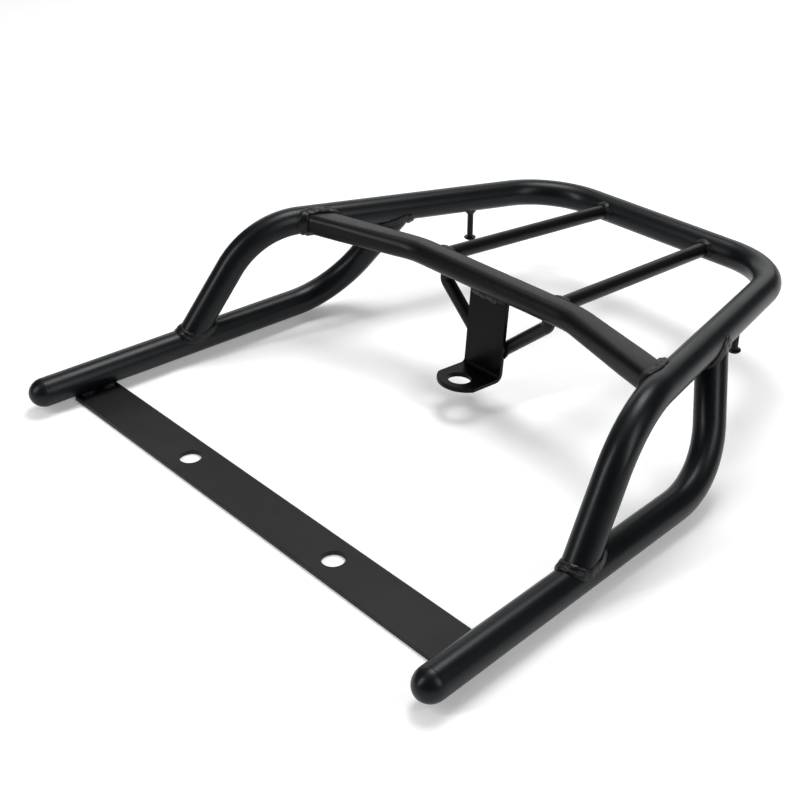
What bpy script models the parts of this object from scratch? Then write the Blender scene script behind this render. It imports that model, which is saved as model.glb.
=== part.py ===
"""Rear luggage rack of a motorcycle: a bent tube hoop on two bent lower rails, a flattened
crossmember, two luggage rods, a drilled front plate, a braced centre bracket and two strap pegs.

Everything is steel and is welded together, so nothing moves.  Units are metres, +Z is up and
+Y points to the rear.  The origin is on the ground, under the middle of the rack.  Left and
right are the rider's: the rider faces -Y, so left is +X.
"""

import math

import bmesh
import bpy
from mathutils import Matrix, Vector

MM = 0.001
SIDES = {"left": 1, "right": -1}

# Stock
TUBE_R = 9.5 * MM
TUBE_WALL = 1.6 * MM
ROD_R = 4.4 * MM
PLATE_T = 3.0 * MM
GAP = 0.3 * MM
DOME_RISE = 10.7 * MM
BORE_R = TUBE_R - TUBE_WALL

# Whole rack; each distance along Y is counted from the line where the domes' tips would be if
# they were round, and they are DOME_RISE - TUBE_R longer
LENGTH = 413 * MM
RAIL_HEIGHT = PLATE_T + GAP + TUBE_R

# Lower rails: x and y of the straight run's ends, and where the rear end meets the hoop
RAIL_FRONT_X = 180 * MM
RAIL_BEND_X, RAIL_BEND_Y = 168.5 * MM, 240 * MM
RAIL_BEND_R = 59 * MM
RAIL_TOP_AT = 0.47

# Hoop: its corners, with heights over the rails' axis
HOOP_FOOT_Y = 116 * MM
HOOP_FRONT = Vector((163, 169.5, 73.3)) * MM
HOOP_REAR = Vector((100.7, 403.5, 55.2)) * MM
HOOP_FRONT_R, HOOP_REAR_R = 61 * MM, 51 * MM

# Crossmember: a tube pressed to an oval, bowed forward at both ends
CROSS_WIDTH, CROSS_DEPTH = 20 * MM, 14 * MM
CROSS_END_AT = 0.16
CROSS_BEND_X, CROSS_Y = 68 * MM, 233.3 * MM
CROSS_BEND_R = 52 * MM

# Luggage rods
CARRY_R = 4.9 * MM
ROD_FRONT_X, ROD_REAR_X = 49.8 * MM, 43.8 * MM
ROD_LIFT = 0.8 * MM

# Front plate
PLATE_Y, PLATE_WIDTH = 43.2 * MM, 30 * MM
PLATE_HALF_LENGTH = 178 * MM
PLATE_HOLE_R, PLATE_HOLE_SPACING = 6.75 * MM, 135 * MM

# Centre bracket, square to the platform
STRAP_WIDTH, STRAP_T = 32 * MM, 3.0 * MM
STRAP_DROP = 63.4 * MM
STRAP_BEND_R = 2.5 * MM
FOOT_LENGTH, FOOT_TIP_R = 33.5 * MM, 17.5 * MM
FOOT_HOLE_R, FOOT_HOLE_AT = 7.5 * MM, 20.1 * MM

# Braces of the bracket, from the strap's back up to the crossmember
BRACE_TOP_X, BRACE_TOP_DROP = 44.6 * MM, 14.5 * MM
BRACE_FOOT_X, BRACE_FOOT_DROP = 6.5 * MM, 47.5 * MM
BRACE_BEND_R = 5 * MM

# Strap pegs under the hoop's sides
PEG_Y, PEG_INSET = 332 * MM, 2.5 * MM
PEG_DROP = 31.8 * MM
PEG_R, PEG_HEAD_R, PEG_HEAD_T = 2.2 * MM, 4.4 * MM, 2.6 * MM

# Weld beads: between two tubes, and where a thin rod or a strap is joined
BEAD_R, THIN_BEAD_R = 2.4 * MM, 1.7 * MM
BEAD_OUT = 0.7 * MM
STITCH_LENGTH = 9 * MM

# Facets
BEND_STEPS = 7
TUBE_RES, ROD_RES, BEAD_RES = 6, 4, 2
RING_STEPS = 24


def clear_scene():
    for obj in list(bpy.data.objects):
        bpy.data.objects.remove(obj, do_unlink=True)


def new_collection(name):
    collection = bpy.data.collections.new(name)
    bpy.context.scene.collection.children.link(collection)
    return collection


def coat(name, grey, roughness):
    """Satin black powder coat; each kind of piece has its own shade and gloss."""
    material = bpy.data.materials.new(name)
    material.use_nodes = True
    shader = material.node_tree.nodes["Principled BSDF"]
    shader.inputs["Base Color"].default_value = (grey, grey, grey * 1.06, 1)
    shader.inputs["Roughness"].default_value = roughness
    shader.inputs["Metallic"].default_value = 0
    material.diffuse_color = (grey, grey, grey * 1.06, 1)
    return material


# ---- places

def place(x, y, z):
    """World point at x, y behind the front tips and z over the rails' axis."""
    return Vector((x, y - LENGTH / 2, z + RAIL_HEIGHT))


def mirrored(point, side):
    return Vector((point.x * side, point.y, point.z))


def hoop_corner(corner, side):
    return mirrored(place(*corner), side)


def on_hoop_side(fraction, side):
    """Point on the axis of the hoop's side run, from its front corner to its rear corner."""
    return hoop_corner(HOOP_FRONT.lerp(HOOP_REAR, fraction), side)


def on_rail(y, side):
    """Point on the axis of the lower rail's straight run."""
    share = (y - TUBE_R) / (RAIL_BEND_Y - TUBE_R)
    x = RAIL_FRONT_X + (RAIL_BEND_X - RAIL_FRONT_X) * share
    return mirrored(place(x, y, 0), side)


def on_platform(x, y):
    """Point of the plane that holds both side runs and the rear bar of the hoop."""
    share = (y - HOOP_FRONT.y) / (HOOP_REAR.y - HOOP_FRONT.y)
    return place(x, y, HOOP_FRONT.z + (HOOP_REAR.z - HOOP_FRONT.z) * share)


FALL = math.atan2(HOOP_FRONT.z - HOOP_REAR.z, HOOP_REAR.y - HOOP_FRONT.y)
PLATFORM = Matrix.Translation(on_platform(0, CROSS_Y)) @ Matrix.Rotation(-FALL, 4, "X")


def in_platform(x, y, z):
    """World point from distances in the platform's own frame, whose origin is on the crossmember."""
    return PLATFORM @ Vector((x, y, z))


# ---- shapes

def bent_path(corners, radii):
    """Straight runs between the corners, with an arc of the given radius at each inner corner."""
    path = [corners[0]]
    for before, corner, after, radius in zip(corners, corners[1:], corners[2:], radii):
        back, ahead = (before - corner).normalized(), (after - corner).normalized()
        half_angle = back.angle(ahead) / 2
        start = corner + back * (radius / math.tan(half_angle))
        centre = corner + (back + ahead).normalized() * (radius / math.sin(half_angle))
        axis = ahead.cross(back)
        sweep = math.pi - 2 * half_angle
        for step in range(BEND_STEPS + 1):
            turn = Matrix.Rotation(sweep * step / BEND_STEPS, 3, axis)
            path.append(centre + turn @ (start - centre))
    path.append(corners[-1])
    return path


def lengthened(path, extra):
    """The path with both of its ends carried on in their own direction."""
    first = path[0] + (path[0] - path[1]).normalized() * extra
    last = path[-1] + (path[-1] - path[-2]).normalized() * extra
    return [first, *path[1:-1], last]


def as_mesh_object(curve, collection, material=None):
    """Replaces a curve object by a mesh object of the same shape, with its caps welded on."""
    bpy.context.scene.collection.objects.link(curve)
    bpy.context.view_layer.update()
    evaluated = curve.evaluated_get(bpy.context.evaluated_depsgraph_get())
    mesh = bpy.data.meshes.new_from_object(evaluated)
    work = bmesh.new()
    work.from_mesh(mesh)
    bmesh.ops.remove_doubles(work, verts=work.verts, dist=1e-6)
    bmesh.ops.recalc_face_normals(work, faces=work.faces)
    work.to_mesh(mesh)
    work.free()
    obj = bpy.data.objects.new(curve.name, mesh)
    obj.matrix_world = curve.matrix_world.copy()
    name = curve.name
    bpy.data.objects.remove(curve, do_unlink=True)
    obj.name = name
    return finish(obj, collection, material)


def finish(obj, collection, material=None):
    """Puts the object in its collection, as a part with a material or as a hidden cutter."""
    collection.objects.link(obj)
    if material is None:
        obj.hide_render = True
        obj.display_type = "WIRE"
        return obj
    obj.data.materials.clear()
    obj.data.materials.append(material)
    if obj.type == "MESH":
        obj.data.shade_smooth()
        obj.data.set_sharp_from_angle(angle=math.radians(35))
    return obj


def bar_curve(name, path, radius, resolution, cyclic=False):
    """Round bar along a path, as a curve object."""
    curve = bpy.data.curves.new(name, "CURVE")
    curve.dimensions = "3D"
    curve.bevel_depth = radius
    curve.bevel_resolution = resolution
    curve.use_fill_caps = not cyclic
    spline = curve.splines.new("POLY")
    spline.points.add(len(path) - 1)
    for point, position in zip(spline.points, path):
        point.co = (*position, 1)
    spline.use_cyclic_u = cyclic
    return bpy.data.objects.new(name, curve)


def bar(name, path, radius, resolution, collection, material=None, cyclic=False):
    curve = bar_curve(name, path, radius, resolution, cyclic)
    return as_mesh_object(curve, collection, material)


def flat_outline(name, outlines, thickness, collection, material=None):
    """Flat piece in its own XY plane: the first outline is the edge, the others are holes."""
    curve = bpy.data.curves.new(name, "CURVE")
    curve.dimensions = "2D"
    curve.fill_mode = "BOTH"
    curve.extrude = thickness / 2
    for outline in outlines:
        spline = curve.splines.new("POLY")
        spline.points.add(len(outline) - 1)
        for point, (x, y) in zip(spline.points, outline):
            point.co = (x, y, 0, 1)
        spline.use_cyclic_u = True
    return as_mesh_object(bpy.data.objects.new(name, curve), collection, material)


def arc(centre_x, centre_y, radius, start, end, steps):
    """Points of an arc in a plane, with its angles in degrees."""
    angles = [math.radians(start + (end - start) * step / steps) for step in range(steps + 1)]
    return [(centre_x + radius * math.cos(a), centre_y + radius * math.sin(a)) for a in angles]


def circle(centre_x, centre_y, radius, steps=24):
    return arc(centre_x, centre_y, radius, 0, 360, steps)[:-1]


def oval(width, depth, steps=5):
    """Outline of a tube pressed between flat jaws: two half circles and two straight sides."""
    radius = depth / 2
    flat = (width - depth) / 2
    return arc(flat, 0, radius, -90, 90, steps) + arc(-flat, 0, radius, 90, 270, steps)


def turned(name, profile, collection, material):
    """Turned piece: a profile of (radius, height) points, top to bottom, spun about its own Z."""
    mesh = bpy.data.meshes.new(name)
    points = [(radius, 0, height) for radius, height in profile]
    mesh.from_pydata(points, [(i, i + 1) for i in range(len(points) - 1)], [])
    obj = finish(bpy.data.objects.new(name, mesh), collection, material)
    screw = obj.modifiers.new("spin", "SCREW")
    screw.steps = screw.render_steps = 16
    screw.use_merge_vertices = True
    screw.merge_threshold = 1e-5
    return obj


def rod_between(name, start, end, radius, collection, sides=32):
    """Straight round cutter between two points."""
    mesh = bpy.data.meshes.new(name)
    work = bmesh.new()
    bmesh.ops.create_cone(work, cap_ends=True, segments=sides, radius1=radius, radius2=radius,
                          depth=(end - start).length)
    work.to_mesh(mesh)
    work.free()
    obj = bpy.data.objects.new(name, mesh)
    turn = (end - start).to_track_quat("Z", "Y").to_matrix().to_4x4()
    obj.matrix_world = Matrix.Translation((start + end) / 2) @ turn
    return finish(obj, collection)


def cut(obj, cutter, operation="DIFFERENCE"):
    modifier = obj.modifiers.new(f"{operation.lower()} {cutter.name}", "BOOLEAN")
    modifier.operation = operation
    modifier.object = cutter


# ---- weld beads

def joint_ring(tip, out, radius, main_point, main_along, main_radius):
    """Closed path where a round bar leaves a round tube.

    Each line along the bar's side is followed outwards from the tube's axis until its distance
    from that axis is the tube's radius, which is the larger root of a quadratic.
    """
    out, main_along = out.normalized(), main_along.normalized()
    across = out.orthogonal().normalized()
    second = out.cross(across)
    radius, main_radius = radius + BEAD_OUT, main_radius + BEAD_OUT
    slope = out - main_along * out.dot(main_along)
    ring = []
    for step in range(RING_STEPS):
        angle = 2 * math.pi * step / RING_STEPS
        side = tip + (across * math.cos(angle) + second * math.sin(angle)) * radius
        offset = side - main_point
        offset -= main_along * offset.dot(main_along)
        a, b = slope.dot(slope), offset.dot(slope)
        c = offset.dot(offset) - main_radius ** 2
        ring.append(side + out * (math.sqrt(max(b * b - a * c, 0)) - b) / a)
    return ring


def weld(name, path, cutters, radius=BEAD_R, cyclic=True):
    """Bead along a path, trimmed to the corner between the pieces that it joins."""
    bead = bar(name, path, radius, BEAD_RES, RACK, BEAD_COAT, cyclic)
    for cutter in cutters:
        cut(bead, cutter)


# ---- build

clear_scene()
RACK = new_collection("luggage_rack")
CUTTERS = new_collection("cutters")
TUBE_COAT = coat("tube_powder_coat", 0.022, 0.42)
FLAT_COAT = coat("flat_bar_powder_coat", 0.028, 0.5)
ROD_COAT = coat("rod_powder_coat", 0.018, 0.38)
BEAD_COAT = coat("weld_powder_coat", 0.016, 0.45)
DOME_COAT = coat("dome_powder_coat", 0.024, 0.4)

HOOP_CORNERS = [on_rail(HOOP_FOOT_Y, 1), hoop_corner(HOOP_FRONT, 1), hoop_corner(HOOP_REAR, 1),
                hoop_corner(HOOP_REAR, -1), hoop_corner(HOOP_FRONT, -1), on_rail(HOOP_FOOT_Y, -1)]
HOOP_RADII = [HOOP_FRONT_R, HOOP_REAR_R, HOOP_REAR_R, HOOP_FRONT_R]


def tube_clearances():
    """Cutters a gap wider than the tubes' straight runs, for coping what meets them."""
    found = {}
    grown = TUBE_R + GAP
    for name, side in SIDES.items():
        found["rail", side] = rod_between(f"clear_rail_{name}", on_rail(20 * MM, side),
                                          on_rail(190 * MM, side), grown, CUTTERS)
        found["side", side] = rod_between(f"clear_hoop_side_{name}", on_hoop_side(0.1, side),
                                          on_hoop_side(0.86, side), grown, CUTTERS)
        found["leg", side] = rod_between(
            f"clear_hoop_leg_{name}", on_rail(HOOP_FOOT_Y, side),
            on_rail(HOOP_FOOT_Y, side).lerp(hoop_corner(HOOP_FRONT, side), 0.55), grown, CUTTERS)
        rail_bend = mirrored(place(RAIL_BEND_X, RAIL_BEND_Y, 0), side)
        found["rise", side] = rod_between(
            f"clear_rail_rise_{name}", on_hoop_side(RAIL_TOP_AT, side),
            on_hoop_side(RAIL_TOP_AT, side).lerp(rail_bend, 0.5), grown, CUTTERS)
    found["rear"] = rod_between("clear_rear_bar", on_platform(-58 * MM, HOOP_REAR.y),
                                on_platform(58 * MM, HOOP_REAR.y), grown, CUTTERS)
    return found


def hollow_tube(name, path, clearances):
    """Tube along a path: its bore runs out of both ends, which are coped to what they meet."""
    tube = bar(name, path, TUBE_R, TUBE_RES, RACK, TUBE_COAT)
    cut(tube, bar(f"bore_{name}", lengthened(path, 3 * MM), BORE_R, 4, CUTTERS))
    for clearance in clearances:
        cut(tube, clearance)
    return tube


def make_hoop():
    hollow_tube("upper_hoop", bent_path(HOOP_CORNERS, HOOP_RADII),
                [CLEAR["rail", side] for side in SIDES.values()])
    for name, side in SIDES.items():
        foot, corner = on_rail(HOOP_FOOT_Y, side), hoop_corner(HOOP_FRONT, side)
        along = on_rail(200 * MM, side) - on_rail(0, side)
        ring = joint_ring(foot, corner - foot, TUBE_R, foot, along, TUBE_R)
        weld(f"leg_weld_{name}", ring, [CLEAR["rail", side], CLEAR["leg", side]])


def make_rail(name, side):
    top = on_hoop_side(RAIL_TOP_AT, side)
    bend = mirrored(place(RAIL_BEND_X, RAIL_BEND_Y, 0), side)
    path = bent_path([on_rail(TUBE_R + GAP, side), bend, top], [RAIL_BEND_R])
    hollow_tube(f"lower_rail_{name}", path, [CLEAR["side", side]])
    along = on_hoop_side(1, side) - on_hoop_side(0, side)
    ring = joint_ring(top, bend - top, TUBE_R, top, along, TUBE_R)
    weld(f"rail_top_weld_{name}", ring, [CLEAR["side", side], CLEAR["rise", side]])


def make_dome(name, side):
    """Domed end of a lower rail, with a spigot inside the tube."""
    profile = [(radius, height * DOME_RISE / TUBE_R)
               for height, radius in arc(0, 0, TUBE_R, 0, 90, 7)]
    spigot = BORE_R - GAP
    profile += [(spigot, 0), (spigot, -8 * MM), (0, -8 * MM)]
    profile[0] = (0, DOME_RISE)
    dome = turned(f"rail_end_dome_{name}", profile, RACK, DOME_COAT)
    ahead = on_rail(0, side) - on_rail(100 * MM, side)
    dome.rotation_euler = ahead.to_track_quat("Z", "Y").to_euler()
    dome.location = on_rail(TUBE_R, side)


def oval_bar(name, path, width, depth, collection, material=None):
    """Oval bar along a path in the platform's plane."""
    section = bpy.data.curves.new(f"section_{name}", "CURVE")
    section.dimensions = "2D"
    outline = oval(width, depth)
    spline = section.splines.new("POLY")
    spline.points.add(len(outline) - 1)
    for point, (x, y) in zip(spline.points, outline):
        point.co = (x, y, 0, 1)
    spline.use_cyclic_u = True
    section_object = finish(bpy.data.objects.new(f"section_{name}", section), CUTTERS)
    curve = bar_curve(name, path, 0, 0)
    curve.data.bevel_mode = "OBJECT"
    curve.data.bevel_object = section_object
    curve.data.twist_mode = "Z_UP"
    curve.matrix_world = PLATFORM
    obj = as_mesh_object(curve, collection, material)
    bpy.data.objects.remove(section_object, do_unlink=True)
    return obj


def crossmember_path():
    end = PLATFORM.inverted() @ on_hoop_side(CROSS_END_AT, 1)
    corners = [end, Vector((CROSS_BEND_X, 0, 0))]
    corners += [mirrored(corner, -1) for corner in reversed(corners)]
    return bent_path(corners, [CROSS_BEND_R, CROSS_BEND_R])


def make_crossmember():
    path = crossmember_path()
    tube = oval_bar("crossmember", path, CROSS_WIDTH, CROSS_DEPTH, RACK, TUBE_COAT)
    bore = oval_bar("bore_crossmember", lengthened(path, 3 * MM), CROSS_WIDTH - 2 * TUBE_WALL,
                    CROSS_DEPTH - 2 * TUBE_WALL, CUTTERS)
    cut(tube, bore)
    flat = (CROSS_WIDTH - CROSS_DEPTH) / 2
    grown = oval_bar("clear_crossmember", path, CROSS_WIDTH + 2 * GAP, CROSS_DEPTH + 2 * GAP, CUTTERS)
    for name, side in SIDES.items():
        cut(tube, CLEAR["side", side])
        end = on_hoop_side(CROSS_END_AT, side)
        corner = in_platform(CROSS_BEND_X * side, 0, 0)
        out = (corner - end).normalized()
        across = PLATFORM.to_3x3() @ Vector((0, 1, 0))
        across -= out * across.dot(out)
        along = on_hoop_side(1, side) - on_hoop_side(0, side)
        up = PLATFORM.to_3x3() @ Vector((0, 0, 1))
        ring = oval_joint_ring(end, out, across.normalized() * flat, up, along)
        weld(f"crossmember_weld_{name}", ring, [CLEAR["side", side], grown])
    return grown


def oval_joint_ring(tip, out, shift, up, main_along):
    """Closed path where the oval bar leaves a round tube.

    The oval's outline is followed a bead's offset outside it, and each line along the bar is
    carried out to the tube's surface.
    """
    main_along = main_along.normalized()
    slope = out - main_along * out.dot(main_along)
    across = shift.normalized()
    outline = oval(CROSS_WIDTH + 2 * BEAD_OUT, CROSS_DEPTH + 2 * BEAD_OUT, RING_STEPS // 2 - 1)
    ring = []
    for x, y in outline:
        side = tip + across * x + up * y
        offset = side - tip
        offset -= main_along * offset.dot(main_along)
        a, b = slope.dot(slope), offset.dot(slope)
        c = offset.dot(offset) - (TUBE_R + BEAD_OUT) ** 2
        ring.append(side + out * (math.sqrt(max(b * b - a * c, 0)) - b) / a)
    return ring


def make_rod(name, side):
    """Luggage rod from the crossmember's back to the rear bar."""
    flat = (CROSS_WIDTH - CROSS_DEPTH) / 2
    front = in_platform(ROD_FRONT_X * side, flat, ROD_LIFT)
    rear = on_platform(ROD_REAR_X * side, HOOP_REAR.y)
    rod = bar(f"luggage_rod_{name}", [front, rear], CARRY_R, ROD_RES, RACK, ROD_COAT)
    cut(rod, CLEAR["rear"])
    cut(rod, CLEAR["cross"])
    clear_rod = rod_between(f"clear_rod_{name}", front, rear, CARRY_R + GAP, CUTTERS)
    along_x = Vector((1, 0, 0))
    ring = joint_ring(rear, front - rear, CARRY_R, rear, along_x, TUBE_R)
    weld(f"rod_rear_weld_{name}", ring, [CLEAR["rear"], clear_rod], THIN_BEAD_R)
    ring = joint_ring(front, rear - front, CARRY_R, front, along_x, CROSS_DEPTH / 2)
    weld(f"rod_front_weld_{name}", ring, [CLEAR["cross"], clear_rod, CLEAR["brace", side]],
         THIN_BEAD_R)


def make_plate():
    """Drilled flat bar across the front, under both rails, with two stitch welds at each end."""
    half = PLATE_WIDTH / 2
    edge = [(-PLATE_HALF_LENGTH, -half), (PLATE_HALF_LENGTH, -half),
            (PLATE_HALF_LENGTH, half), (-PLATE_HALF_LENGTH, half)]
    holes = [circle(PLATE_HOLE_SPACING / 2 * side, 0, PLATE_HOLE_R) for side in SIDES.values()]
    plate = flat_outline("front_plate", [edge, *holes], PLATE_T, RACK, FLAT_COAT)
    plate.location = (0, PLATE_Y - LENGTH / 2, PLATE_T / 2)
    top = PLATE_T + GAP
    slab = flat_outline("clear_plate", [edge], 2 * top, CUTTERS)
    slab.location = (0, PLATE_Y - LENGTH / 2, 0)
    for name, side in SIDES.items():
        for end, y in {"front": PLATE_Y - 7 * MM, "rear": PLATE_Y + 7 * MM}.items():
            ends = []
            for step in (-0.5, 0.5):
                middle = on_rail(y + STITCH_LENGTH * step, side)
                ends.append(Vector((middle.x - 6.8 * MM * side, middle.y, top + 1.2 * MM)))
            weld(f"plate_weld_{name}_{end}", ends, [CLEAR["rail", side], slab], cyclic=False)


def make_bracket():
    """Strap bent into an L, square to the platform: it hangs from the crossmember to its foot."""
    front, foot_top = -STRAP_T, -STRAP_DROP + STRAP_T
    inner, outer = STRAP_BEND_R, STRAP_BEND_R + STRAP_T
    centre = (front - inner, foot_top + inner)
    tip = front - FOOT_LENGTH - 2 * MM
    outline = [(0, 0), (front, 0), *arc(*centre, inner, 0, -90, 4), (tip, foot_top),
               (tip, -STRAP_DROP), *arc(*centre, outer, -90, 0, 5)]
    strap = flat_outline("centre_bracket", [outline], STRAP_WIDTH, RACK, FLAT_COAT)
    stand = Matrix(((0, 0, 1, 0), (1, 0, 0, 0), (0, 1, 0, 0), (0, 0, 0, 1)))
    strap.matrix_world = PLATFORM @ stand
    half = STRAP_WIDTH / 2 + MM
    lift = math.degrees(math.acos(half / FOOT_TIP_R))
    tip_centre = front - FOOT_LENGTH + FOOT_TIP_R
    tip_arc = arc(0, tip_centre, FOOT_TIP_R, 180 + lift, 360 - lift, 12)
    keep = flat_outline("keep_foot", [[(half, 20 * MM), (-half, 20 * MM), *tip_arc]], 200 * MM, CUTTERS)
    keep.matrix_world = PLATFORM
    cut(strap, keep, "INTERSECT")
    hole_y = front - FOOT_HOLE_AT
    drill = rod_between("drill_foot", in_platform(0, hole_y, -STRAP_DROP - 5 * MM),
                        in_platform(0, hole_y, foot_top + 5 * MM), FOOT_HOLE_R, CUTTERS, 24)
    cut(strap, drill)
    cut(strap, CLEAR["cross"])


def strap_slab():
    """Upright slab a gap wider than the strap, which cuts the beads that lie against it."""
    half = STRAP_WIDTH / 2 + GAP
    outline = [(-half, -STRAP_T - GAP), (half, -STRAP_T - GAP), (half, GAP), (-half, GAP)]
    slab = flat_outline("clear_strap", [outline], 50 * MM, CUTTERS)
    slab.matrix_world = PLATFORM @ Matrix.Translation((0, 0, -25 * MM - GAP))
    return slab


def make_bracket_welds(slab):
    """Beads along the strap's top edge, in front and behind, under the crossmember."""
    half = STRAP_WIDTH / 2 - 1.5 * MM
    under = -CROSS_DEPTH / 2 - BEAD_OUT
    for name, y in {"front": -STRAP_T - BEAD_OUT, "rear": BEAD_OUT}.items():
        ends = [in_platform(-half, y, under), in_platform(half, y, under)]
        weld(f"bracket_weld_{name}", ends, [CLEAR["cross"], slab], THIN_BEAD_R, cyclic=False)


def make_brace(name, side, slab):
    """Round bar behind the strap, rising to the crossmember's underside, with its top turned up."""
    y = GAP + ROD_R
    foot = Vector((BRACE_FOOT_X * side, y, -BRACE_FOOT_DROP))
    knee = Vector((BRACE_TOP_X * side, y, -BRACE_TOP_DROP))
    top = Vector((BRACE_TOP_X * side, y, 0))
    path = [PLATFORM @ point for point in bent_path([foot, knee, top], [BRACE_BEND_R])]
    brace = bar(f"bracket_brace_{name}", path, ROD_R, ROD_RES, RACK, ROD_COAT)
    cut(brace, CLEAR["cross"])
    clear_top = rod_between(f"clear_brace_top_{name}", PLATFORM @ top,
                            in_platform(BRACE_TOP_X * side, y, -12 * MM), ROD_R + GAP, CUTTERS)
    CLEAR["brace", side] = clear_top
    front_half = []
    for x, back in arc(0, y, ROD_R + BEAD_OUT, -190, 10, RING_STEPS // 2):
        reach = max(back - (CROSS_WIDTH - CROSS_DEPTH) / 2, 0)
        under = -math.sqrt((CROSS_DEPTH / 2 + BEAD_OUT) ** 2 - reach ** 2)
        front_half.append(in_platform(BRACE_TOP_X * side + x, back, under))
    weld(f"brace_top_weld_{name}", front_half, [CLEAR["cross"], clear_top], THIN_BEAD_R, cyclic=False)
    clear_run = rod_between(f"clear_brace_{name}", PLATFORM @ foot, PLATFORM @ knee, ROD_R + GAP,
                            CUTTERS)
    down = (knee - foot).cross(Vector((0, side, 0))).normalized() * (ROD_R + BEAD_OUT)
    runs = [foot.lerp(knee, share) + down for share in (0.02, 0.22)]
    for point in runs:
        point.y = GAP + BEAD_OUT + 0.6 * MM
    weld(f"brace_foot_weld_{name}", [PLATFORM @ point for point in runs], [clear_run, slab],
         THIN_BEAD_R, cyclic=False)


def make_peg(name, side):
    """Headed peg that hangs straight down from the hoop's side, for a luggage strap's hook."""
    share = (PEG_Y - HOOP_FRONT.y) / (HOOP_REAR.y - HOOP_FRONT.y)
    rail = on_hoop_side(share, side)
    x = rail.x - PEG_INSET * side
    bottom = rail.z - PEG_DROP
    dome = [(radius * PEG_HEAD_R, height * PEG_HEAD_T / 2 - PEG_HEAD_T / 2)
            for radius, height in arc(0, 0, 1, 0, -90, 4)]
    dome[-1] = (0, -PEG_HEAD_T)
    rim = [(PEG_R, PEG_DROP - PEG_HEAD_T), (PEG_R, 0), (PEG_HEAD_R * 0.8, 0)]
    profile = [(0, PEG_DROP - PEG_HEAD_T), *rim, *dome]
    peg = turned(f"strap_peg_{name}", profile, RACK, ROD_COAT)
    peg.location = (x, rail.y, bottom + PEG_HEAD_T)
    cut(peg, CLEAR["side", side])
    centre = Vector((x, rail.y, rail.z))
    clear_peg = rod_between(f"clear_peg_{name}", centre, centre - Vector((0, 0, 20 * MM)),
                            PEG_R + GAP, CUTTERS)
    along = on_hoop_side(1, side) - on_hoop_side(0, side)
    ring = joint_ring(centre, Vector((0, 0, -1)), PEG_R, rail, along, TUBE_R)
    weld(f"peg_weld_{name}", ring, [CLEAR["side", side], clear_peg], THIN_BEAD_R)


CLEAR = tube_clearances()
make_hoop()
CLEAR["cross"] = make_crossmember()
make_plate()
make_bracket()
SLAB = strap_slab()
make_bracket_welds(SLAB)
for side_name, side_sign in SIDES.items():
    make_rail(side_name, side_sign)
    make_dome(side_name, side_sign)
    make_brace(side_name, side_sign, SLAB)
    make_rod(side_name, side_sign)
    make_peg(side_name, side_sign)
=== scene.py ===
# %% [markdown]
# # A motorcycle's rear luggage rack in satin black
#
# The rack is bent steel tube, welded up and then powder coated in one go.  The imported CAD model
# is the frame of this lesson: each of its nodes gets a smoother stand-in in its place, with
# rounded edges, coped tube ends and rippled welds, and then its coat.  Over all, the stand-ins
# are the model's size.  Coped ends and weld beads differ from their nodes by up to 4 mm, and the
# beads at the braces' feet by more, as their cell says.

import math

import bpy
import numpy as np
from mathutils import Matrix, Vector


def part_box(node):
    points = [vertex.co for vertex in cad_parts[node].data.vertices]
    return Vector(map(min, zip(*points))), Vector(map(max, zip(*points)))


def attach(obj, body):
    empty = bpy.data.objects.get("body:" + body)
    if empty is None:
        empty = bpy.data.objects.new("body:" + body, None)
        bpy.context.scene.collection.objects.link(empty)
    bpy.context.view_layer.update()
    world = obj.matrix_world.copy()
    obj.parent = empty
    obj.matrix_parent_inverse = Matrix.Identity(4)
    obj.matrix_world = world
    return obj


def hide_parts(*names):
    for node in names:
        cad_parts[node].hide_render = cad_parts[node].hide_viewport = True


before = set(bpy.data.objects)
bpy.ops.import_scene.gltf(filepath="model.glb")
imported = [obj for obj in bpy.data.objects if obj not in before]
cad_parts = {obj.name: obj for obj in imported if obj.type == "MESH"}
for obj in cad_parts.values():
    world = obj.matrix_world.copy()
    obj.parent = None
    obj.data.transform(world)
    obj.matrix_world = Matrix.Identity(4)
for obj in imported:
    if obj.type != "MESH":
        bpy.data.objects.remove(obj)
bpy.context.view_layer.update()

# %% [markdown]
# ## Places
#
# A bent tube is known by its corners: where the straight runs would meet if there were no
# bends.  These are the corners that the CAD model was made from, so that the stand-ins fit it
# with no adjusting.  The platform, which is the part that carries luggage, falls a few degrees
# towards the rear, so it has a frame of its own.

# %% Sizes of the stock and of the rack
MM = 0.001
SIDES = {"left": 1.0, "right": -1.0}

TUBE_R, TUBE_WALL, CARRY_R, BRACE_R = 9.5 * MM, 1.6 * MM, 4.9 * MM, 4.4 * MM
PLATE_T, GAP = 3.0 * MM, 0.3 * MM
BORE_R = TUBE_R - TUBE_WALL
HALF_LENGTH, RAIL_HEIGHT = 206.5 * MM, PLATE_T + GAP + TUBE_R
RAIL_FRONT, RAIL_BEND, RAIL_BEND_R = (180, 9.5), (168.5, 240), 59 * MM
HOOP_FOOT_Y, RAIL_TOP_AT, CROSS_END_AT = 116, 0.47, 0.16
HOOP_FRONT, HOOP_REAR = (163, 169.5, 73.3), (100.7, 403.5, 55.2)
HOOP_FRONT_R, HOOP_REAR_R = 61 * MM, 51 * MM
CROSS_HALF_WIDTH, CROSS_HALF_DEPTH = 10 * MM, 7 * MM
CROSS_BEND_X, CROSS_Y, CROSS_BEND_R = 68 * MM, 233.3, 52 * MM
ROD_FRONT_X, ROD_REAR_X, ROD_LIFT = 49.8 * MM, 43.8, 0.8 * MM
UP = np.array([0.0, 0.0, 1.0])
ACROSS = np.array([1.0, 0.0, 0.0])


# %% Turn those numbers into points
def unit(vectors):
    """Each vector over its own length."""
    return vectors / np.linalg.norm(vectors, axis=-1, keepdims=True)


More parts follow.
